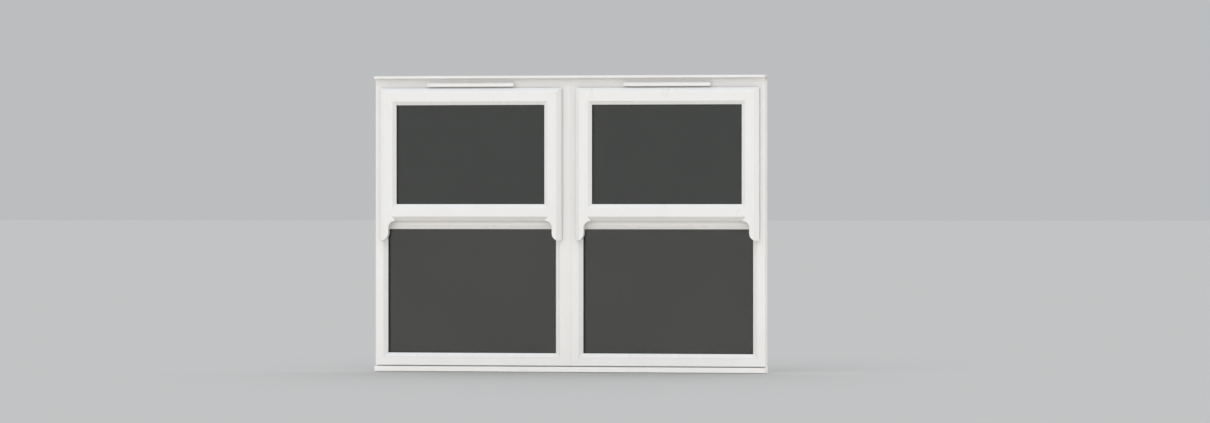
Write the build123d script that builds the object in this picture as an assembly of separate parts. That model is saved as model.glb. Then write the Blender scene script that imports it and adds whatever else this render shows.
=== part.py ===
from build123d import *
import math
import os

os.makedirs("parts", exist_ok=True)

# Axes: +X to the right seen from outside, +Y into the room, +Z up.
# The origin is the middle of the sill's underside, in the plane of the frames' outside faces.

# Overall size of the pair of windows
overall_width = 1795
overall_height = 1345

# Sill, coupler and head pieces that join the two frames
sill_height = 30
sill_nose = 18
sill_back = 67
sill_lip_height = 24
sill_wall = 2.5
sill_cap = 2.5
coupler_width = 15
coupler_proud = 2
coupler_wall = 2
extender_height = 26
extender_wall = 2.5
drip_plate = 2
drip_reach = 28
drip_drop = 11.5
drip_fall = 2
drip_overhang = 2
drip_hook = 20

# Welded outer frame
frame_depth = 70
frame_face = 37
frame_arris = 1.5
upstand_reach = 21
plastic_wall = 3
transom_rise = 637
transom_face = 30

# Glazing
pane = 4
cavity = 16
gasket = 3
gasket_width = 9
gasket_show = 1
glass_edge_room = 5
spacer_show = 2.5
sealant_width = 1
bead_width = 18.5
bead_depth = 15
bead_edge = 2
bead_land = 2
bead_arris = 1

# Sash
lap_top = 9
lap_side = 12
lap_bottom = 12
flange_gap = 8
flange_edge = 6
bevel_width = 21
bevel_depth = 23
sash_flat = 37.5
sash_body_inset = 26
seal = 3
seal_room = 0.3
seal_width = 3
seal_inset = 0.5

# Run-through horns at the foot of the sash stiles
horn_drop = 88
horn_neck = 41
horn_scoop_height = 28
horn_toe_height = 33
horn_toe_flat = 9
horn_arris = 2.5

# Stays: two equal links fold between the frame's track and the sash's bar
link = 150
stay_line = 12
stay_top_room = 9.5
track_base = 1.5
track_width = 21
track_lip_height = 4.5
track_lip = 1.2
track_top_room = 1
track_tail = 14
arm_width = 16
arm_thickness = 2.5
arm_place = 7
bar_width = 14
bar_thickness = 2.7
bar_tail = 60
pivot_radius = 3
pivot_clearance = 0.05
washer_radius = 6
washer_room = 0.3
shoe_height = 18
shoe_room = 0.6

# Handle and sliding bolt on the sash's bottom rail
handle_base_length = 62
handle_base_height = 26
handle_base_depth = 11
handle_neck_radius = 8
handle_neck_length = 12
lever_length = 112
lever_height = 17
lever_depth = 10
spindle = 7
spindle_room = 0.3
spindle_length = 40
bolt_length = 340
bolt_width = 16
bolt_thickness = 2.5
bolt_line = 20
cam_spacing = 280
cam_radius = 3.5
cam_head_radius = 5
cam_head = 2
cam_foot_room = 3
bolt_travel = 18
keep_length = 46
keep_plate = 1.5
keep_wall = 3
keep_room = 0.8
keep_mouth = 22
keep_top_room = 2

# Head vent: slots, outside canopy and inside cover
vent_length = 400
vent_slot_length = 160
vent_slot_pitch = 175
vent_slot_count = 2
vent_slot_height = 9
vent_drop = 15.5
canopy_height = 19
canopy_reach = 16
canopy_wall = 2
vent_cover_height = 21
vent_cover_depth = 14
vent_cover_wall = 2
vent_rib_spacing = 20
vent_rib = 2

# Fixing holes through the outer jambs
fixing_radius = 4
fixing_count = 4
fixing_end = 150
fixing_line = 33

# Levels and widths that follow from the sizes above
unit_width = (overall_width - coupler_width) / 2
unit_offset = (unit_width + coupler_width) / 2
frame_bottom = sill_height
head_top = overall_height - drip_plate
frame_top = head_top - extender_height
vent_axis = frame_top - vent_drop
half = unit_width / 2
transom_bottom = frame_bottom + transom_rise
transom_top = transom_bottom + transom_face
glass_unit = 2 * pane + cavity
upstand_front = bead_depth + 2 * gasket + glass_unit
upstand_inner = frame_face + upstand_reach

sash_half = half - frame_face + lap_side
sash_bottom = transom_top - lap_bottom
sash_top = frame_top - frame_face + lap_top
sash_face = bevel_width + sash_flat
sash_sight = sash_face + bead_width
sash_front = -(flange_gap + flange_edge + bevel_depth)
sash_back = upstand_front - seal
sash_leg = sash_front + bead_depth + 2 * gasket + glass_unit
rail_axis = sash_bottom + (sash_body_inset + sash_face) / 2 + 6

shoe_pivot = frame_top - frame_face - stay_top_room
arm_joint = shoe_pivot - link
arm_root = arm_joint - link


def polygon_face(points):
    return Face(Wire.make_polygon([Vector(*p) for p in points], close=True))


def along_x(profile, x0, x1):
    """Bar along X from a profile of (y, z) points."""
    face = polygon_face([(x0, y, z) for y, z in profile])
    return extrude(face, amount=x1 - x0, dir=(1, 0, 0))


def along_z(profile, z0, z1):
    """Post along Z from a profile of (x, y) points."""
    face = polygon_face([(x, y, z0) for x, y in profile])
    return extrude(face, amount=z1 - z0, dir=(0, 0, 1))


def block(x0, x1, y0, y1, z0, z1):
    return Pos((x0 + x1) / 2, (y0 + y1) / 2, (z0 + z1) / 2) * Box(abs(x1 - x0), abs(y1 - y0), abs(z1 - z0))


def ring(profile, x0, x1, z0, z1):
    """Mitred rectangular loop: profile points are (distance in from the outline, y)."""
    mid = (z0 + z1) / 2
    path = Polyline((x0, 0, mid), (x0, 0, z1), (x1, 0, z1), (x1, 0, z0), (x0, 0, z0), (x0, 0, mid))
    face = polygon_face([(x0 + u, y, mid) for u, y in profile])
    return sweep(face, path=path, transition=Transition.RIGHT)


def strip_ring(u0, u1, y0, y1, x0, x1, z0, z1):
    return ring([(u0, y0), (u1, y0), (u1, y1), (u0, y1)], x0, x1, z0, z1)


def disc(x0, x1, y, z, radius):
    """Cylinder along X."""
    return Pos((x0 + x1) / 2, y, z) * Rot(0, 90, 0) * Cylinder(radius, abs(x1 - x0))


def link_plate(x0, x1, y, z0, z1, width):
    """Flat link in the YZ plane with round ends about two pivots."""
    body = block(x0, x1, y - width / 2, y + width / 2, z0, z1)
    return body + disc(x0, x1, y, z0, width / 2) + disc(x0, x1, y, z1, width / 2)


def group(*shapes):
    """Several solids in one node."""
    return Compound(children=[solid for shape in shapes for solid in shape.solids()])


def save(shape, name, x=0):
    """Write one node, each of its solids moved to x."""
    solids = [Pos(x, 0, 0) * solid for solid in shape.solids()]
    whole = solids[0] if len(solids) == 1 else Compound(children=solids)
    export_step(whole, "parts/" + name + ".step")


# Outer frame: four welded bars with hollow chambers and fixing holes, and a transom between them
def frame_section():
    a = frame_arris
    return [
        (0, 0), (frame_face - a, 0), (frame_face, a), (frame_face, upstand_front),
        (upstand_inner, upstand_front), (upstand_inner, frame_depth), (0, frame_depth),
    ]


def frame_chambers():
    w = plastic_wall
    middle = upstand_front - bead_depth - gasket
    return [
        [(w, w), (frame_face - w, w), (frame_face - w, middle - w / 2), (w, middle - w / 2)],
        [(w, middle + w / 2), (frame_face - w, middle + w / 2), (frame_face - w, frame_depth - w),
         (w, frame_depth - w)],
        [(frame_face, upstand_front + w), (upstand_inner - w, upstand_front + w),
         (upstand_inner - w, frame_depth - w), (frame_face, frame_depth - w)],
    ]


def transom_section():
    a = frame_arris
    lower = transom_bottom - upstand_reach
    upper = transom_top + upstand_reach
    return [
        (0, transom_bottom + a), (a, transom_bottom), (upstand_front, transom_bottom),
        (upstand_front, lower), (frame_depth, lower), (frame_depth, upper),
        (upstand_front, upper), (upstand_front, transom_top), (a, transom_top), (0, transom_top - a),
    ]


def frame_ring():
    box = (-half, half, frame_bottom, frame_top)
    body = ring(frame_section(), *box)
    for chamber in frame_chambers():
        body -= ring(chamber, *box)
    return body


def transom():
    """Butts between the jambs, notched over their upstands."""
    reach = half - frame_face
    body = along_x(transom_section(), -reach, reach)
    w = plastic_wall
    middle = upstand_front - w / 2
    low = transom_bottom + w
    high = transom_top - w
    front = [(w, low), (middle - w / 2, low), (middle - w / 2, high), (w, high)]
    drop = upstand_reach
    back = [(middle + w, low - drop), (frame_depth - w, low - drop),
            (frame_depth - w, high + drop), (middle + w, high + drop)]
    body -= along_x(front, -reach, reach)
    body -= along_x(back, -reach, reach)
    for side in (-1, 1):
        body -= block(side * (reach - upstand_reach), side * reach, upstand_front, frame_depth,
                      transom_bottom - drop, transom_top + drop)
    return body


def frame(hand):
    body = frame_ring()
    spacing = fixing_spacing()
    outer = hand * half
    inner = hand * (half - frame_face)
    for i in range(fixing_count):
        z = frame_bottom + fixing_end + i * spacing
        body -= disc(outer, inner, fixing_line, z, fixing_radius)
    return vent_slots(body)


def vent_slots(body):
    """Line and cut the ventilation slots through the head."""
    for i in range(vent_slot_count):
        x = (i - (vent_slot_count - 1) / 2) * vent_slot_pitch
        x0 = x - vent_slot_length / 2
        x1 = x + vent_slot_length / 2
        z0 = vent_axis - vent_slot_height / 2
        z1 = vent_axis + vent_slot_height / 2
        w = plastic_wall
        body += block(x0 - w, x1 + w, 0, frame_depth, z0 - w, z1 + w)
        body -= block(x0, x1, 0, frame_depth, z0, z1)
    return body


def fixing_spacing():
    return (frame_top - frame_bottom - 2 * fixing_end) / (fixing_count - 1)


# Sash: top rail and stiles are one welded piece, the bottom rail butts between the stiles
def sash_section():
    lap_back = -flange_gap
    return [
        (0, lap_back), (0, lap_back - flange_edge), (bevel_width, sash_front), (sash_face, sash_front),
        (sash_face, sash_leg), (sash_sight, sash_leg), (sash_sight, sash_back),
        (sash_body_inset, sash_back), (sash_body_inset, lap_back),
    ]


def sash_chambers():
    w = plastic_wall
    inner = sash_face - w
    web = -flange_gap - w
    edge = -flange_gap - flange_edge
    slope = bevel_depth / bevel_width
    near = 2 * w
    return [
        [(near, web), (near, edge - slope * near + 2 * w), (bevel_width, sash_front + w * 1.5),
         (inner, sash_front + w * 1.5), (inner, web)],
        [(sash_body_inset + w, web + w), (inner, web + w), (inner, sash_leg), (sash_body_inset + w, sash_leg)],
        [(sash_body_inset + w, sash_leg + w), (sash_sight - w, sash_leg + w),
         (sash_sight - w, sash_back - w), (sash_body_inset + w, sash_back - w)],
    ]


def whole_sash():
    box = (-sash_half, sash_half, sash_bottom, sash_top)
    body = ring(sash_section(), *box)
    for chamber in sash_chambers():
        body -= ring(chamber, *box)
    return body


def rail_region():
    """Space that the bottom rail takes between the stiles, mitred over the bevel."""
    flat = sash_half - sash_face
    tip = sash_half - sash_sight
    low = sash_bottom
    top = sash_bottom + sash_sight
    knee = sash_bottom + bevel_width
    outline = [(-flat, 0, top), (-flat, 0, knee), (-tip, 0, low), (tip, 0, low), (flat, 0, knee), (flat, 0, top)]
    face = polygon_face([(x, sash_front, z) for x, y, z in outline])
    return extrude(face, amount=sash_back - sash_front, dir=(0, 1, 0))


def inner_corner_region():
    """Bottom rail's part of the inner leg, cut off at the stiles' sight lines."""
    tip = sash_half - sash_sight
    return block(-tip, tip, sash_leg, sash_back, sash_bottom, sash_bottom + sash_sight)


def horn_outline(hand):
    """Face outline of one horn: scooped under the rail, straight neck, rounded toe."""
    def at(u, z):
        return Vector(hand * (sash_half - u), sash_front, z)

    top = sash_bottom + bevel_width
    neck_top = sash_bottom - horn_scoop_height
    foot = sash_bottom - horn_drop
    neck_foot = foot + horn_toe_height
    quarter = math.sqrt(0.5)
    scoop_width = sash_sight - horn_neck
    toe_width = horn_neck - horn_toe_flat
    scoop_mid = at(sash_sight - scoop_width * quarter, neck_top + horn_scoop_height * quarter)
    toe_mid = at(horn_toe_flat + toe_width * quarter, neck_foot - horn_toe_height * quarter)
    edges = [
        Line(at(0, top), at(sash_face, top)),
        Line(at(sash_face, top), at(sash_sight, sash_bottom)),
        ThreePointArc(at(sash_sight, sash_bottom), scoop_mid, at(horn_neck, neck_top)),
        Line(at(horn_neck, neck_top), at(horn_neck, neck_foot)),
        ThreePointArc(at(horn_neck, neck_foot), toe_mid, at(horn_toe_flat, foot)),
        Line(at(horn_toe_flat, foot), at(0, foot)),
        Line(at(0, foot), at(0, top)),
    ]
    return Face(Wire([e for line in edges for e in line.edges()]))


def horn(hand):
    thickness = -flange_gap - sash_front
    plate = extrude(horn_outline(hand), amount=thickness, dir=(0, 1, 0))
    lap_back = -flange_gap
    profile = [(0, lap_back), (0, lap_back - flange_edge), (bevel_width, sash_front),
               (sash_sight, sash_front), (sash_sight, lap_back)]
    low = sash_bottom - horn_drop
    blank = along_z([(hand * (sash_half - u), y) for u, y in profile], low, sash_bottom + bevel_width)
    shaped = plate & blank
    arcs = [e for e in shaped.edges().filter_by(GeomType.CIRCLE) if abs(e.center().Y - sash_front) < 0.01]
    scoop = sorted(arcs, key=lambda e: e.center().Z)[-1]
    return chamfer(scoop, horn_arris)


def stile_frame():
    body = whole_sash() - rail_region() - inner_corner_region()
    return body + horn(1) + horn(-1)


def bottom_rail():
    region = rail_region() + inner_corner_region()
    rail = whole_sash() & region
    bore = spindle * math.sqrt(0.5) + spindle_room
    depth = spindle_length + 1
    hole = Pos(0, sash_back - depth / 2, rail_axis) * Rot(90, 0, 0) * Cylinder(bore, depth)
    return rail - hole


# Glazing: beads, gaskets, panes and spacer for one light
def beads(front, x0, x1, z0, z1, face):
    """Four mitred beads. front is the y of the face that they start from."""
    c = bead_arris
    profile = [
        (face, front), (face + bead_land - c / 2, front), (face + bead_land + c, front + c),
        (face + bead_width, front + bead_depth - bead_edge), (face + bead_width, front + bead_depth),
        (face, front + bead_depth),
    ]
    loop = ring(profile, x0, x1, z0, z1)
    width = x1 - x0
    height = z1 - z0
    deep = face + bead_width + 1
    parts = []
    for side in range(4):
        if side == 0:
            points = [(x0, z0), (x1, z0), (x1 - deep, z0 + deep), (x0 + deep, z0 + deep)]
        elif side == 1:
            points = [(x0, z1), (x1, z1), (x1 - deep, z1 - deep), (x0 + deep, z1 - deep)]
        elif side == 2:
            points = [(x0, z0), (x0 + deep, z0 + deep), (x0 + deep, z1 - deep), (x0, z1)]
        else:
            points = [(x1, z0), (x1 - deep, z0 + deep), (x1 - deep, z1 - deep), (x1, z1)]
        wedge = extrude(polygon_face([(x, front, z) for x, z in points]), amount=bead_depth, dir=(0, 1, 0))
        parts.append(loop & wedge)
    return group(*parts)


def gaskets(front, x0, x1, z0, z1, sight):
    outer_y = front + bead_depth
    inner_y = outer_y + gasket + glass_unit
    u1 = sight + gasket_show
    u0 = u1 - gasket_width
    outer = strip_ring(u0, u1, outer_y, outer_y + gasket, x0, x1, z0, z1)
    inner = strip_ring(u0, u1, inner_y, inner_y + gasket, x0, x1, z0, z1)
    return group(outer, inner)


def glazing(front, x0, x1, z0, z1, face):
    edge = face + glass_edge_room
    y = front + bead_depth + gasket
    outer = block(x0 + edge, x1 - edge, y, y + pane, z0 + edge, z1 - edge)
    far = y + pane + cavity
    inner = block(x0 + edge, x1 - edge, far, far + pane, z0 + edge, z1 - edge)
    sight = face + bead_width + spacer_show
    bar = strip_ring(edge + sealant_width, sight, y + pane, far, x0, x1, z0, z1)
    return outer, inner, bar


# Seal on the frame's upstand that the closed sash lands on
def weather_seal():
    u1 = upstand_inner - seal_inset
    y0 = sash_back + seal_room
    return strip_ring(u1 - seal_width, u1, y0, upstand_front, -half, half, transom_top - frame_face, frame_top)


# Stays: positions across the unit, measured from its middle towards one jamb
def stay_x(place):
    return half - frame_face - place


def track(hand):
    x_wall = hand * stay_x(0)
    x_base = hand * stay_x(track_base)
    x_lip = hand * stay_x(track_lip_height)
    low = arm_root - track_tail
    top = frame_top - frame_face - track_top_room
    y0 = stay_line - track_width / 2
    y1 = stay_line + track_width / 2
    body = block(x_wall, x_base, y0, y1, low, top)
    body += block(x_wall, x_lip, y0, y0 + track_lip, low, top)
    body += block(x_wall, x_lip, y1 - track_lip, y1, low, top)
    body += disc(x_wall, hand * stay_x(arm_place - washer_room), stay_line, arm_root, washer_radius)
    pin_end = hand * stay_x(arm_place + arm_thickness + washer_room)
    return body + disc(x_wall, pin_end, stay_line, arm_root, pivot_radius)


def stay_arm(hand):
    x0 = hand * stay_x(arm_place)
    x1 = hand * stay_x(arm_place + arm_thickness)
    plate = link_plate(x0, x1, stay_line, arm_root, arm_joint, arm_width)
    hole = pivot_radius + pivot_clearance
    plate -= disc(x0, x1, stay_line, arm_root, hole)
    return plate - disc(x0, x1, stay_line, arm_joint, hole)


def sash_bar(hand):
    body_side = sash_half - sash_body_inset
    x1 = hand * body_side
    x0 = hand * (body_side + bar_thickness)
    low = arm_joint - bar_tail
    plate = link_plate(x0, x1, stay_line, low, shoe_pivot, bar_width)
    plate += disc(x0, hand * stay_x(arm_place + arm_thickness + washer_room), stay_line, arm_joint, washer_radius)
    plate += disc(x0, hand * stay_x(arm_place - washer_room), stay_line, arm_joint, pivot_radius)
    plate += disc(x0, hand * stay_x(track_base + washer_room), stay_line, shoe_pivot, pivot_radius)
    return plate


def shoe(hand):
    x0 = hand * stay_x(track_base + washer_room)
    body_side = sash_half - sash_body_inset
    x1 = hand * (body_side + bar_thickness + washer_room)
    half_width = track_width / 2 - track_lip - shoe_room
    body = block(x0, x1, stay_line - half_width, stay_line + half_width,
                 shoe_pivot - shoe_height / 2, shoe_pivot + shoe_height / 2)
    return body - disc(x0, x1, stay_line, shoe_pivot, pivot_radius + pivot_clearance)


# Handle on the inside of the bottom rail, sliding bolt under it, keeps on the transom
def handle_base():
    body = block(-handle_base_length / 2, handle_base_length / 2, sash_back, sash_back + handle_base_depth,
                 rail_axis - handle_base_height / 2, rail_axis + handle_base_height / 2)
    front = body.faces().sort_by(Axis.Y)[-1]
    body = chamfer(front.edges(), 3)
    upright = [e for e in body.edges().filter_by(Axis.Y)]
    body = fillet(upright, 4)
    bore = handle_neck_radius + pivot_clearance
    return body - Pos(0, sash_back + handle_base_depth / 2, rail_axis) * Rot(90, 0, 0) * Cylinder(bore, handle_base_depth)


def handle_lever(hand):
    y0 = sash_back
    neck_end = y0 + handle_base_depth + handle_neck_length
    mid = (y0 + neck_end) / 2
    neck = Pos(0, mid, rail_axis) * Rot(90, 0, 0) * Cylinder(handle_neck_radius, neck_end - y0)
    root = handle_neck_radius + 2
    tip = lever_height / 2 - 2
    y1 = neck_end + lever_depth
    outline = [(-root, 0, -root), (lever_length, 0, -tip), (lever_length, 0, tip), (-root, 0, root)]
    face = polygon_face([(-hand * x, neck_end, rail_axis + z) for x, y, z in outline])
    grip = extrude(face, amount=y1 - neck_end, dir=(0, 1, 0))
    grip = fillet(grip.edges().filter_by(Axis.Y), 5)
    outer = grip.faces().sort_by(Axis.Y)[-1]
    grip = fillet(outer.edges(), 3)
    square = spindle / 2
    shaft = block(-square, square, sash_back - spindle_length, sash_back, rail_axis - square, rail_axis + square)
    return neck + grip + shaft


def bolt():
    under = sash_bottom + sash_body_inset
    body = block(-bolt_length / 2, bolt_length / 2, bolt_line - bolt_width / 2, bolt_line + bolt_width / 2,
                 under - bolt_thickness, under)
    foot = transom_top + keep_plate + cam_foot_room
    for side in (-1, 1):
        x = side * cam_spacing / 2
        stem = under - bolt_thickness - foot
        body += Pos(x, bolt_line, foot + stem / 2) * Cylinder(cam_radius, stem)
        body += Pos(x, bolt_line, foot + cam_head / 2) * Cylinder(cam_head_radius, cam_head)
    return body


def keeps():
    """Each keep has a plate and a wall outside the cam, cut away where the drawn bolt passes."""
    parts = []
    top = sash_bottom + sash_body_inset - bolt_thickness - keep_top_room
    wall_back = bolt_line - cam_head_radius - keep_room
    plate_back = bolt_line + bolt_width / 2
    for side in (-1, 1):
        x = side * cam_spacing / 2
        x1 = x + keep_length - keep_mouth / 2
        x0 = x - keep_mouth / 2
        body = block(x0, x1, wall_back - keep_wall, plate_back, transom_top, transom_top + keep_plate)
        body += block(x + keep_mouth / 2 - 2, x1, wall_back - keep_wall, wall_back, transom_top, top)
        parts.append(body)
    return group(*parts)


# Head vent
def canopy():
    low = vent_axis - canopy_height / 2
    high = low + canopy_height
    w = canopy_wall
    r = canopy_reach
    outer = [(0, high), (-r * 0.6, high), (-r, high - r * 0.35), (-r, low), (0, low)]
    inner = [(0, high - w), (-r * 0.6, high - w), (-r + w, high - r * 0.35 - w * 0.4), (-r + w, low), (0, low)]
    body = along_x(outer, -vent_length / 2, vent_length / 2)
    return body - along_x(inner, -vent_length / 2 + w, vent_length / 2 - w)


def vent_cover():
    low = vent_axis - vent_cover_height / 2
    high = low + vent_cover_height
    w = vent_cover_wall
    y0 = frame_depth
    y1 = y0 + vent_cover_depth
    body = block(-vent_length / 2, vent_length / 2, y0, y1, low, high)
    body -= block(-vent_length / 2 + w, vent_length / 2 - w, y0, y1 - w, low + w, high)
    count = int((vent_length - 2 * w) / vent_rib_spacing)
    for i in range(count + 1):
        x = (i - count / 2) * vent_rib_spacing
        body += block(x - vent_rib / 2, x + vent_rib / 2, y0, y1, high - w, high)
    return body


# Pieces that run the full width, or stand between the frames
def sill():
    w = sill_wall
    shoulder = sill_height - (sill_height - sill_lip_height) * 0.6
    outer = [(-sill_nose, 0), (-sill_nose, sill_lip_height - 1), (-sill_nose + 1, sill_lip_height),
             (-0.5, shoulder), (-0.5, sill_height), (sill_back, sill_height), (sill_back, 0)]
    length = overall_width / 2
    body = along_x(outer, -length, length)
    groove = [(-sill_nose, 11.2), (-sill_nose + 1, 11.7), (-sill_nose + 1, 12.3), (-sill_nose, 12.8)]
    body -= along_x(groove, -length, length)
    front = [(-sill_nose + w, w), (-sill_nose + w, sill_lip_height - w), (-w, shoulder - w), (-w, w)]
    body -= along_x(front, -length, length)
    span = (sill_back - w) / 2
    for i in range(2):
        y0 = i * span
        y1 = y0 + span - w
        cell = [(y0 + w / 2, w), (y0 + w / 2, sill_height - w), (y1 + w / 2, sill_height - w), (y1 + w / 2, w)]
        body -= along_x(cell, -length, length)
    return body


def sill_caps():
    profile = [(-sill_nose, 0), (-sill_nose, sill_lip_height - 1), (-sill_nose + 1, sill_lip_height),
               (-0.5, sill_lip_height + 1), (-0.5, sill_height), (sill_back, sill_height), (sill_back, 0)]
    x = overall_width / 2
    left = along_x(profile, -x - sill_cap, -x)
    right = along_x(profile, x, x + sill_cap)
    return group(left, right)


def coupler():
    w = coupler_wall
    side = coupler_width / 2
    body = block(-side, side, -coupler_proud, frame_depth + coupler_proud, sill_height, head_top)
    return body - block(-side + w, side - w, -coupler_proud + w, frame_depth + coupler_proud - w,
                        sill_height, head_top)


def extender():
    w = extender_wall
    body = block(-half, half, 0, frame_depth, frame_top, head_top)
    middle = frame_depth / 2
    body -= block(-half, half, w, middle - w / 2, frame_top + w, head_top - w)
    return body - block(-half, half, middle + w / 2, frame_depth - w, frame_top + w, head_top - w)


def drip():
    t = drip_plate
    top = overall_height
    back = coupler_proud
    profile = [
        (drip_hook, top), (-back, top), (-drip_reach, top - drip_fall), (-drip_reach, top - drip_drop),
        (-drip_reach + t, top - drip_drop), (-drip_reach + t, top - drip_fall - t), (-back - t, top - t),
        (-back - t, top - drip_drop - t), (-back, top - drip_drop - t), (-back, top - t), (drip_hook, top - t),
    ]
    length = overall_width / 2 + drip_overhang
    return along_x(profile, -length, length)


def unit_pieces(hand):
    """All pieces of one window, about its own middle. hand is 1 for the right one."""
    light = (-half, half, frame_bottom, transom_top + frame_face - transom_face)
    vent = (-sash_half, sash_half, sash_bottom, sash_top)
    lower = (-half, half, frame_bottom, transom_bottom + frame_face)
    upper_panes = glazing(sash_front, *vent, sash_face)
    lower_panes = glazing(0, *lower, frame_face)
    pieces = {
        "frame": frame(hand),
        "transom": transom(),
        "head_extender": extender(),
        "vent_canopy": canopy(),
        "vent_cover": vent_cover(),
        "sash": stile_frame(),
        "sash_bottom_rail": bottom_rail(),
        "sash_beads": beads(sash_front, *vent, sash_face),
        "fixed_beads": beads(0, *lower, frame_face),
        "sash_gaskets": gaskets(sash_front, *vent, sash_sight),
        "fixed_gaskets": gaskets(0, *lower, frame_face + bead_width),
        "sash_outer_pane": upper_panes[0],
        "sash_inner_pane": upper_panes[1],
        "sash_spacer": upper_panes[2],
        "fixed_outer_pane": lower_panes[0],
        "fixed_inner_pane": lower_panes[1],
        "fixed_spacer": lower_panes[2],
        "weather_seal": weather_seal(),
        "stay_tracks": group(track(1), track(-1)),
        "stay_bars": group(sash_bar(1), sash_bar(-1)),
        "handle_base": handle_base(),
        "handle": handle_lever(hand),
        "sliding_bolt": bolt(),
        "keeps": keeps(),
    }
    for side, name in ((hand, "outer"), (-hand, "inner")):
        pieces[name + "_stay_arm"] = stay_arm(side)
        pieces[name + "_stay_shoe"] = shoe(side)
    return pieces


for unit_hand, unit_name in ((-1, "left"), (1, "right")):
    for piece_name, shape in unit_pieces(unit_hand).items():
        save(shape, unit_name + "_" + piece_name, unit_hand * unit_offset)

save(sill(), "sill")
save(sill_caps(), "sill_end_caps")
save(coupler(), "coupler")
save(drip(), "head_drip")
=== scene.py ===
import bmesh
import bpy
import math
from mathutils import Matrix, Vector


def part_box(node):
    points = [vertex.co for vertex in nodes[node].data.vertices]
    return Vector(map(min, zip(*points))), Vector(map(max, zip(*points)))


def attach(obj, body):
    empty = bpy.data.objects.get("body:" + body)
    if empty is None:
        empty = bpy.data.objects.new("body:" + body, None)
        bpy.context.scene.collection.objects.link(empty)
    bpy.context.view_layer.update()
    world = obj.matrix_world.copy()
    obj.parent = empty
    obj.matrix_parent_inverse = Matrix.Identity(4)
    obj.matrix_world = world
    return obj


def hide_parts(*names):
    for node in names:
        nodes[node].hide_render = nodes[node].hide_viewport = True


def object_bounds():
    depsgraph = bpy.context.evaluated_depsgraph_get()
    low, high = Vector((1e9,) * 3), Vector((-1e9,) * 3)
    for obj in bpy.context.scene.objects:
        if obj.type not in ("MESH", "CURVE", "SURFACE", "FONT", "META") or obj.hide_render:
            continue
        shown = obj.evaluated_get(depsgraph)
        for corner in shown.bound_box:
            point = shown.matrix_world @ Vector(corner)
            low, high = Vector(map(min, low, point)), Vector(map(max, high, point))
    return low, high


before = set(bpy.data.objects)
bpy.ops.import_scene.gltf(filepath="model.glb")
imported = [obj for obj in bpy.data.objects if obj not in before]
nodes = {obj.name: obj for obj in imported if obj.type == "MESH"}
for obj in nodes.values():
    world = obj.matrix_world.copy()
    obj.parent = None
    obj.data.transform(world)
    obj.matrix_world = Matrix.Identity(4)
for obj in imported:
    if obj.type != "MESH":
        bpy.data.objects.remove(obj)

cad_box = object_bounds()

# Frames, transoms, head extenders and coupler: hollow bars of extruded white plastic. The frames
# are mitred and welded at the corners, and the coupler joins the two windows. The skin is
# smooth with a faint satin wave, and holds a little grime away from the light.
units = ("left", "right")
weld_half_width = 0.0013
frame_welds_above = 0.0
profile_edge = 0.0006
arris_angle = math.radians(35)
upright_streaks = (1.0, 1.0, 0.5)


def socket(node, name, value):
    node.inputs[name].default_value = value


def calculate(tree, operation, first, second=0.0):
    step = tree.nodes.new("ShaderNodeMath")
    step.operation = operation
    for number, value in enumerate((first, second)):
        if isinstance(value, float):
            step.inputs[number].default_value = value
        else:
            tree.links.new(value, step.inputs[number])
    return step.outputs[0]


def times(colour, shares):
    return tuple(part * share for part, share in zip(colour, shares))


def new_material(name):
    """A material, its nodes, its shader and the place of each point on the unmoved piece."""
    material = bpy.data.materials.new(name)
    material.use_nodes = True
    tree = material.node_tree
    place = tree.nodes.new("ShaderNodeTexCoord").outputs["Object"]
    return material, tree, tree.nodes["Principled BSDF"], place


def add_noise(tree, place, scale, detail, roughness=0.5):
    noise = tree.nodes.new("ShaderNodeTexNoise")
    socket(noise, "Scale", scale)
    socket(noise, "Detail", detail)
    socket(noise, "Roughness", roughness)
    tree.links.new(place, noise.inputs["Vector"])
    return noise.outputs["Fac"]


def add_stretch(tree, place, scale):
    stretch = tree.nodes.new("ShaderNodeMapping")
    socket(stretch, "Scale", scale)
    tree.links.new(place, stretch.inputs["Vector"])
    return stretch.outputs["Vector"]


def add_blend(tree, factor, first, second, start=0.0, end=1.0):
    """A colour that goes from the first to the second where the factor goes from start to end."""
    blend = tree.nodes.new("ShaderNodeValToRGB")
    low, high = blend.color_ramp.elements
    low.position = start
    high.position = end
    low.color = (*first, 1)
    high.color = (*second, 1)
    tree.links.new(factor, blend.inputs["Fac"])
    return blend.outputs["Color"]


def add_range(tree, factor, low, high):
    spread = tree.nodes.new("ShaderNodeMapRange")
    socket(spread, "To Min", low)
    socket(spread, "To Max", high)
    tree.links.new(factor, spread.inputs["Value"])
    return spread.outputs["Result"]


def add_bump(tree, height, strength, distance):
    bump = tree.nodes.new("ShaderNodeBump")
    socket(bump, "Strength", strength)
    socket(bump, "Distance", distance)
    tree.links.new(height, bump.inputs["Height"])
    return bump


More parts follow.
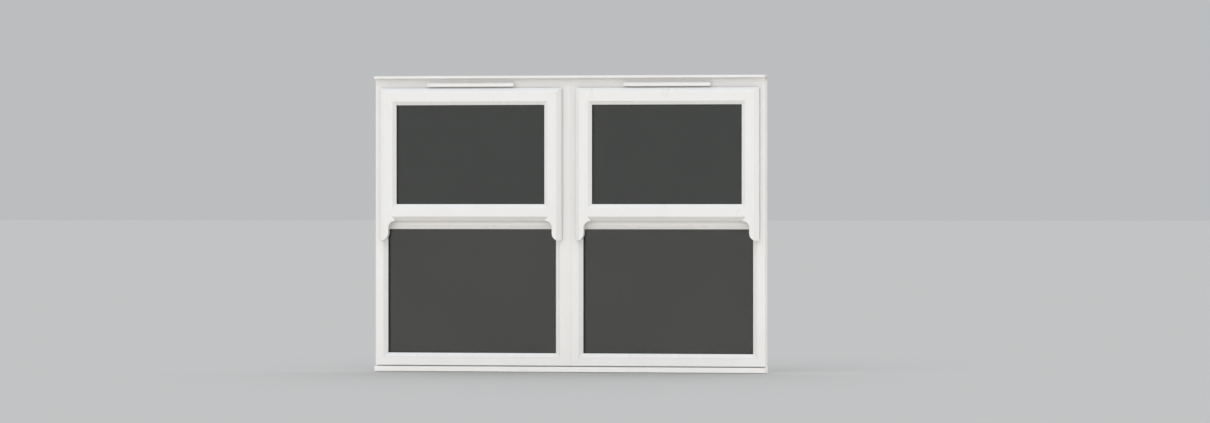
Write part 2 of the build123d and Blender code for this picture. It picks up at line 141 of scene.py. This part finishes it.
def weld_lines(tree, place, name, lowest, drawn_above):
    """1 on the mitres of the rectangle between a node's sides, its top and the lowest height.

    The rectangle is mirrored about the middle of the window, so that both units share it. Only
    what lies higher than drawn_above is drawn.
    """
    low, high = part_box(name)
    half_width = (high.x - low.x) / 2
    half_height = (high.z - lowest) / 2
    apart = tree.nodes.new("ShaderNodeSeparateXYZ")
    tree.links.new(place, apart.inputs[0])
    sideways = calculate(tree, "ABSOLUTE", apart.outputs["X"])
    sideways = calculate(tree, "SUBTRACT", sideways, abs(low.x + high.x) / 2)
    sideways = calculate(tree, "ABSOLUTE", sideways)
    upwards = calculate(tree, "SUBTRACT", apart.outputs["Z"], (lowest + high.z) / 2)
    upwards = calculate(tree, "ABSOLUTE", upwards)
    off = calculate(tree, "SUBTRACT", sideways, upwards)
    off = calculate(tree, "SUBTRACT", off, half_width - half_height)
    off = calculate(tree, "ABSOLUTE", off)
    line = calculate(tree, "LESS_THAN", off, weld_half_width)
    above = calculate(tree, "GREATER_THAN", apart.outputs["Z"], drawn_above)
    return calculate(tree, "MULTIPLY", line, above)


def white_plastic(name, colour, roughness, grime, welded=None):
    material, tree, shader, place = new_material(name)
    upright = add_stretch(tree, place, upright_streaks)
    cloud = add_noise(tree, upright, scale=7.0, detail=6.0, roughness=0.6)
    tint = add_blend(tree, cloud, times(colour, grime), colour, start=0.32, end=0.66)
    tree.links.new(tint, shader.inputs["Base Color"])
    gloss = add_range(tree, cloud, roughness - 0.05, roughness + 0.07)
    tree.links.new(gloss, shader.inputs["Roughness"])
    skin = add_noise(tree, place, scale=420.0, detail=2.0)
    bump = add_bump(tree, skin, strength=0.08, distance=0.0004)
    if welded:
        groove = add_bump(tree, weld_lines(tree, place, *welded), strength=0.6, distance=0.0006)
        groove.invert = True
        tree.links.new(bump.outputs["Normal"], groove.inputs["Normal"])
        bump = groove
    tree.links.new(bump.outputs["Normal"], shader.inputs["Normal"])
    socket(shader, "IOR", 1.5)
    return material


def dress(piece, material, edge):
    """Gives a piece its material, and rounds its arrises by the edge's width."""
    piece.data.materials.clear()
    piece.data.materials.append(material)
    if edge:
        soft = piece.modifiers.new("soft_edges", "BEVEL")
        soft.width = edge
        soft.segments = 2
        soft.limit_method = "ANGLE"
        soft.angle_limit = arris_angle
        soft.harden_normals = False


frame_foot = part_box("right_frame")[0].z
frame_white = white_plastic(
    "frame_plastic", colour=(0.825, 0.824, 0.818), roughness=0.32, grime=(0.975, 0.97, 0.96),
    welded=("right_frame", frame_foot, frame_welds_above))
for unit in units:
    dress(nodes[unit + "_frame"], frame_white, profile_edge)
    dress(nodes[unit + "_transom"], frame_white, profile_edge)
    dress(nodes[unit + "_head_extender"], frame_white, profile_edge)
dress(nodes["coupler"], frame_white, profile_edge)

# Sashes: the same plastic, bevelled on the outside. Top rail and stiles are mitred and welded,
# the stiles run down into routed horns, and the bottom rail butts between them, so the weld
# lines are drawn at the top corners only.
sash_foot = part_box("right_sash_bottom_rail")[0].z
sash_welds_above = 1.0
sash_white = white_plastic(
    "sash_plastic", colour=(0.815, 0.817, 0.815), roughness=0.28, grime=(0.985, 0.982, 0.975),
    welded=("right_sash", sash_foot, sash_welds_above))
for unit in units:
    dress(nodes[unit + "_sash"], sash_white, profile_edge)
    dress(nodes[unit + "_sash_bottom_rail"], sash_white, profile_edge)

# Glazing beads: slim strips of the same plastic that hold the glass in sash and frame. They
# are mitred at the corners and snapped in from outside, in front of the pane.
trim_edge = 0.0004
bead_white = white_plastic(
    "bead_plastic", colour=(0.82, 0.823, 0.822), roughness=0.26, grime=(0.985, 0.982, 0.975))
for unit in units:
    dress(nodes[unit + "_sash_beads"], bead_white, trim_edge)
    dress(nodes[unit + "_fixed_beads"], bead_white, trim_edge)

# Sill, end caps and head drip: the outermost extrusions, a little dustier, screwed under and
# over the frames. The sill and its caps are made here, because the photo shows a set-back joint
# under the frames, a fine groove along the nose and a dark undercut, which the solids lack.


def prism(mesh, outline, start, end):
    """Extrudes a closed (y, z) outline along X as a closed solid."""
    corners = [mesh.verts.new((start, y, z)) for y, z in outline]
    face = mesh.faces.new(corners)
    made = bmesh.ops.extrude_face_region(mesh, geom=[face])["geom"]
    moved = [part for part in made if isinstance(part, bmesh.types.BMVert)]
    bmesh.ops.translate(mesh, verts=moved, vec=(end - start, 0, 0))


def finished(name, mesh, body, replaced):
    """Makes an object of a mesh that stands for a CAD node."""
    bmesh.ops.recalc_face_normals(mesh, faces=mesh.faces)
    data = bpy.data.meshes.new(name)
    mesh.to_mesh(data)
    mesh.free()
    piece = bpy.data.objects.new(name, data)
    bpy.context.collection.objects.link(piece)
    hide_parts(replaced)
    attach(piece, body)
    return piece


sill_low, sill_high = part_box("sill")
cap_low, cap_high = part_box("sill_end_caps")
nose = sill_low.y
lip = 0.0243
top_fall = 0.001
joint_depth = 0.02
drip_line = 0.0115
drip_line_half = 0.0008
undercut = 0.002
undercut_end = 0.03
sill_edge = 0.0008
sill_outline = [
    (nose, undercut), (nose, drip_line - drip_line_half),
    (nose + drip_line_half, drip_line),
    (nose, drip_line + drip_line_half), (nose, lip),
    (joint_depth, lip + top_fall), (joint_depth, sill_high.z),
    (sill_high.y, sill_high.z), (sill_high.y, 0),
    (undercut_end, 0), (undercut_end, undercut),
]
sill_white = white_plastic(
    "sill_plastic", colour=(0.86, 0.86, 0.856), roughness=0.34, grime=(0.965, 0.96, 0.95))
sill_mesh = bmesh.new()
prism(sill_mesh, sill_outline, sill_low.x, sill_high.x)
sill = finished("grooved_sill", sill_mesh, "window_frame", "sill")
dress(sill, sill_white, sill_edge)
cap_mesh = bmesh.new()
prism(cap_mesh, sill_outline, cap_low.x, sill_low.x)
prism(cap_mesh, sill_outline, sill_high.x, cap_high.x)
caps = finished("grooved_end_caps", cap_mesh, "window_frame", "sill_end_caps")
dress(caps, sill_white, trim_edge)
drip_white = white_plastic(
    "drip_plastic", colour=(0.83, 0.828, 0.82), roughness=0.32, grime=(0.96, 0.95, 0.935))
dress(nodes["head_drip"], drip_white, trim_edge)

# Trickle ventilators: an injection-moulded canopy outside and a cover inside, screwed over the
# slots in the head. The canopy is made here a little higher and deeper than its solid and open
# below, because the photo shows a dark slot between it and the sash.
canopy_rise = 0.0035
canopy_more_reach = 0.005
canopy_wall = 0.002
canopy_edge = 0.0005
flat_share = 0.6
fall_share = 0.35
inner_fall_share = 0.05
vent_white = white_plastic(
    "vent_plastic", colour=(0.835, 0.836, 0.833), roughness=0.36, grime=(0.985, 0.98, 0.97))
for unit in units:
    low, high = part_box(unit + "_vent_canopy")
    front = low.y - canopy_more_reach
    bottom = low.z + canopy_rise
    top = high.z + canopy_rise
    flat_end = front * flat_share
    shoulder = top + front * fall_share
    front_inside = front + canopy_wall
    shoulder_inside = shoulder + front * inner_fall_share
    outside = [(0, top), (flat_end, top), (front, shoulder), (front, bottom)]
    inside = [(front_inside, bottom), (front_inside, shoulder_inside),
              (flat_end, top - canopy_wall), (0, top - canopy_wall)]
    canopy_mesh = bmesh.new()
    prism(canopy_mesh, outside + inside, low.x + canopy_wall, high.x - canopy_wall)
    prism(canopy_mesh, outside + [(0, bottom)], low.x, low.x + canopy_wall)
    prism(canopy_mesh, outside + [(0, bottom)], high.x - canopy_wall, high.x)
    canopy = finished(unit + "_canopy", canopy_mesh, "window_frame", unit + "_vent_canopy")
    dress(canopy, vent_white, canopy_edge)
    dress(nodes[unit + "_vent_cover"], vent_white, trim_edge)

# Panes: two sheets of float glass to a sealed unit, one unit in each sash and fixed light. The
# room behind is left out, so its shade is painted into the glass: both sheets are painted dark,
# the sash panes darker than the fixed panes. Shadow rays pass straight through, which keeps the
# render clean.
# Painted room shade: the dark colour of each sheet, lighter in the fixed lights than in the sashes.
outer_glass_painted_shade = {"sash": (0.285, 0.295, 0.28), "fixed": (0.37, 0.375, 0.355)}
inner_glass_painted_shade = {"sash": (0.205, 0.21, 0.195), "fixed": (0.27, 0.272, 0.255)}
film_shade = (0.9, 0.9, 0.9)


def pane_glass(name, colour):
    material, tree, shader, place = new_material(name)
    socket(shader, "Transmission Weight", 1.0)
    socket(shader, "IOR", 1.45)
    socket(shader, "Roughness", 0.0)
    film = add_noise(tree, place, scale=3.0, detail=5.0)
    # Base colour: the painted room shade, varied at random by a faint film.
    shade = add_blend(tree, film, times(colour, film_shade), colour)
    tree.links.new(shade, shader.inputs["Base Color"])
    clear = tree.nodes.new("ShaderNodeBsdfTransparent")
    socket(clear, "Color", (*colour, 1))
    ray = tree.nodes.new("ShaderNodeLightPath")
    either = tree.nodes.new("ShaderNodeMixShader")
    tree.links.new(ray.outputs["Is Shadow Ray"], either.inputs[0])
    tree.links.new(shader.outputs[0], either.inputs[1])
    tree.links.new(clear.outputs[0], either.inputs[2])
    tree.links.new(either.outputs[0], tree.nodes["Material Output"].inputs["Surface"])
    return material


for light in ("sash", "fixed"):
    outer_glass = pane_glass(light + "_outer_glass", outer_glass_painted_shade[light])
    inner_glass = pane_glass(light + "_inner_glass", inner_glass_painted_shade[light])
    for unit in units:
        dress(nodes[unit + "_" + light + "_outer_pane"], outer_glass, edge=0)
        dress(nodes[unit + "_" + light + "_inner_pane"], inner_glass, edge=0)

# Gaskets, spacer bars and weather seals: black extruded rubber on both sides of the panes,
# bars with black sealant between the two sheets, and the seals that the sashes close on. They
# are pressed into place and dull with dust.
rubber_edge = 0.0003
dust_share = (1.8, 1.8, 1.75)


def black_rubber(name, colour, roughness, scale):
    material, tree, shader, place = new_material(name)
    dust = add_noise(tree, place, scale, detail=5.0)
    shade = add_blend(tree, dust, colour, times(colour, dust_share), start=0.35, end=0.8)
    tree.links.new(shade, shader.inputs["Base Color"])
    socket(shader, "Roughness", roughness)
    bump = add_bump(tree, dust, strength=0.2, distance=0.0003)
    tree.links.new(bump.outputs["Normal"], shader.inputs["Normal"])
    return material


gasket_black = black_rubber("gasket_rubber", (0.018, 0.018, 0.019), roughness=0.62, scale=260.0)
spacer_black = black_rubber("spacer_bar", (0.012, 0.012, 0.013), roughness=0.5, scale=120.0)
for unit in units:
    for light in ("sash", "fixed"):
        dress(nodes[unit + "_" + light + "_gaskets"], gasket_black, rubber_edge)
        dress(nodes[unit + "_" + light + "_spacer"], spacer_black, rubber_edge)
    dress(nodes[unit + "_weather_seal"], gasket_black, rubber_edge)

# Stays: the links that carry the sashes, of pressed stainless strip, riveted at their pivots.
# Tracks are screwed to the jambs and bars to the sash, and black nylon shoes slide in the tracks.
metal_edge = 0.0002
grain_shade = (0.78, 0.78, 0.77)


def worn_metal(name, colour, roughness, drawn):
    """Metal with fine lines, short along the axes where drawn is large and long where it is 1."""
    material, tree, shader, place = new_material(name)
    socket(shader, "Metallic", 1.0)
    grain = add_noise(tree, add_stretch(tree, place, drawn), scale=60.0, detail=6.0)
    shade = add_blend(tree, grain, times(colour, grain_shade), colour)
    tree.links.new(shade, shader.inputs["Base Color"])
    gloss = add_range(tree, grain, roughness - 0.08, roughness + 0.12)
    tree.links.new(gloss, shader.inputs["Roughness"])
    bump = add_bump(tree, grain, strength=0.15, distance=0.0002)
    tree.links.new(bump.outputs["Normal"], shader.inputs["Normal"])
    return material


stay_steel = worn_metal("stay_steel", (0.62, 0.61, 0.59), roughness=0.34, drawn=(18.0, 18.0, 1.0))
for unit in units:
    dress(nodes[unit + "_stay_tracks"], stay_steel, metal_edge)
    dress(nodes[unit + "_stay_bars"], stay_steel, metal_edge)
    for side in ("outer", "inner"):
        dress(nodes[unit + "_" + side + "_stay_arm"], stay_steel, metal_edge)
        dress(nodes[unit + "_" + side + "_stay_shoe"], gasket_black, metal_edge)

# Locking: a zinc-plated bar with two mushroom cams under each sash's bottom rail, die-cast keeps
# screwed to the transom, and a handle of painted metal on its base inside.
bolt_zinc = worn_metal("bolt_zinc", (0.66, 0.65, 0.60), roughness=0.38, drawn=(1.0, 18.0, 18.0))
handle_white = white_plastic(
    "handle_paint", colour=(0.80, 0.80, 0.79), roughness=0.3, grime=(0.98, 0.98, 0.97))
for unit in units:
    dress(nodes[unit + "_sliding_bolt"], bolt_zinc, metal_edge)
    dress(nodes[unit + "_keeps"], bolt_zinc, metal_edge)
    dress(nodes[unit + "_handle_base"], handle_white, trim_edge)
    dress(nodes[unit + "_handle"], handle_white, trim_edge)

# Studio: a pale, slightly warm floor under an even sky that is brighter overhead, and one weak
# soft lamp in front. The eye sees floor and backdrop in one light grey, so that the white
# window stands out.
floor_size = 400
floor_bounce = (0.84, 0.785, 0.71, 1)
floor_seen = (0.46, 0.455, 0.445, 1)
mix_first = 6
mix_second = 7
mix_result = 2
horizon_strength = 0.74
zenith_strength = 1.38
sky_colour = (0.965, 0.985, 1.015, 1)
backdrop_colour = (0.50, 0.51, 0.52, 1)
lamp_strength = 0.35
lamp_spread = math.radians(70)
lamp_colour = (0.99, 0.995, 1.0)
towards_lamp = Vector((-0.3, -1.0, 0.6))


def seen_directly(tree):
    """1 for the rays that show the surroundings: to the camera, in a reflection or through glass."""
    ray = tree.nodes.new("ShaderNodeLightPath")
    seen = calculate(tree, "MAXIMUM", ray.outputs["Is Camera Ray"], ray.outputs["Is Glossy Ray"])
    return calculate(tree, "MAXIMUM", seen, ray.outputs["Is Transmission Ray"])


bpy.ops.mesh.primitive_plane_add(size=floor_size, location=(0, 0, 0))
floor = bpy.context.object
floor.name = "studio_floor"
floor_paint = bpy.data.materials.new("studio_floor")
floor_paint.use_nodes = True
floor_tree = floor_paint.node_tree
floor_shader = floor_tree.nodes["Principled BSDF"]
socket(floor_shader, "Roughness", 0.95)
floor_mix = floor_tree.nodes.new("ShaderNodeMix")
floor_mix.data_type = "RGBA"
floor_mix.inputs[mix_first].default_value = floor_bounce
floor_mix.inputs[mix_second].default_value = floor_seen
floor_tree.links.new(seen_directly(floor_tree), floor_mix.inputs[0])
floor_tree.links.new(floor_mix.outputs[mix_result], floor_shader.inputs["Base Color"])
floor.data.materials.append(floor_paint)

world = bpy.data.worlds.new("studio_sky")
world.use_nodes = True
bpy.context.scene.world = world
sky_tree = world.node_tree
sky = sky_tree.nodes["Background"]
socket(sky, "Color", sky_colour)
direction = sky_tree.nodes.new("ShaderNodeTexCoord")
height = sky_tree.nodes.new("ShaderNodeSeparateXYZ")
sky_tree.links.new(direction.outputs["Generated"], height.inputs[0])
strength = add_range(sky_tree, height.outputs["Z"], horizon_strength, zenith_strength)
sky_tree.links.new(strength, sky.inputs["Strength"])
backdrop = sky_tree.nodes.new("ShaderNodeBackground")
socket(backdrop, "Color", backdrop_colour)
either_sky = sky_tree.nodes.new("ShaderNodeMixShader")
sky_tree.links.new(seen_directly(sky_tree), either_sky.inputs[0])
sky_tree.links.new(sky.outputs[0], either_sky.inputs[1])
sky_tree.links.new(backdrop.outputs[0], either_sky.inputs[2])
sky_tree.links.new(either_sky.outputs[0], sky_tree.nodes["World Output"].inputs["Surface"])

lamp_data = bpy.data.lights.new("window_light", "SUN")
lamp_data.energy = lamp_strength
lamp_data.angle = lamp_spread
lamp_data.color = lamp_colour
lamp = bpy.data.objects.new("window_light", lamp_data)
bpy.context.collection.objects.link(lamp)
lamp.rotation_euler = towards_lamp.to_track_quat("Z", "Y").to_euler()

# Camera: a long lens, a little to the right of the window and level with its middle. The
# window's middle falls on the same pixel as in the photo, so the aim is shifted by that much.
azimuth = math.radians(10.4)
elevation = math.radians(0.1)
distance = 24.8
photo_width = 1210
photo_height = 423
metres_per_pixel = 0.004531
middle_across = 569.1
middle_down = 223.9
window_middle = Vector((0, 0, cad_box[1][2] / 2))
sensor_width = 36
clip_end = 400
away = Vector((math.sin(azimuth) * math.cos(elevation),
               -math.cos(azimuth) * math.cos(elevation),
               math.sin(elevation)))
across = Vector((math.cos(azimuth), math.sin(azimuth), 0))
upward = away.cross(across)
offset_across = (photo_width / 2 - middle_across) * metres_per_pixel
offset_up = (middle_down - photo_height / 2) * metres_per_pixel
aim = window_middle + across * offset_across + upward * offset_up
camera_data = bpy.data.cameras.new("camera")
camera_data.sensor_width = sensor_width
camera_data.lens = sensor_width * distance / (photo_width * metres_per_pixel)
camera_data.clip_end = clip_end
camera = bpy.data.objects.new("camera", camera_data)
bpy.context.collection.objects.link(camera)
camera.location = aim + away * distance
camera.rotation_euler = away.to_track_quat("Z", "Y").to_euler()
bpy.context.scene.camera = camera
bpy.context.scene.view_settings.view_transform = "Standard"
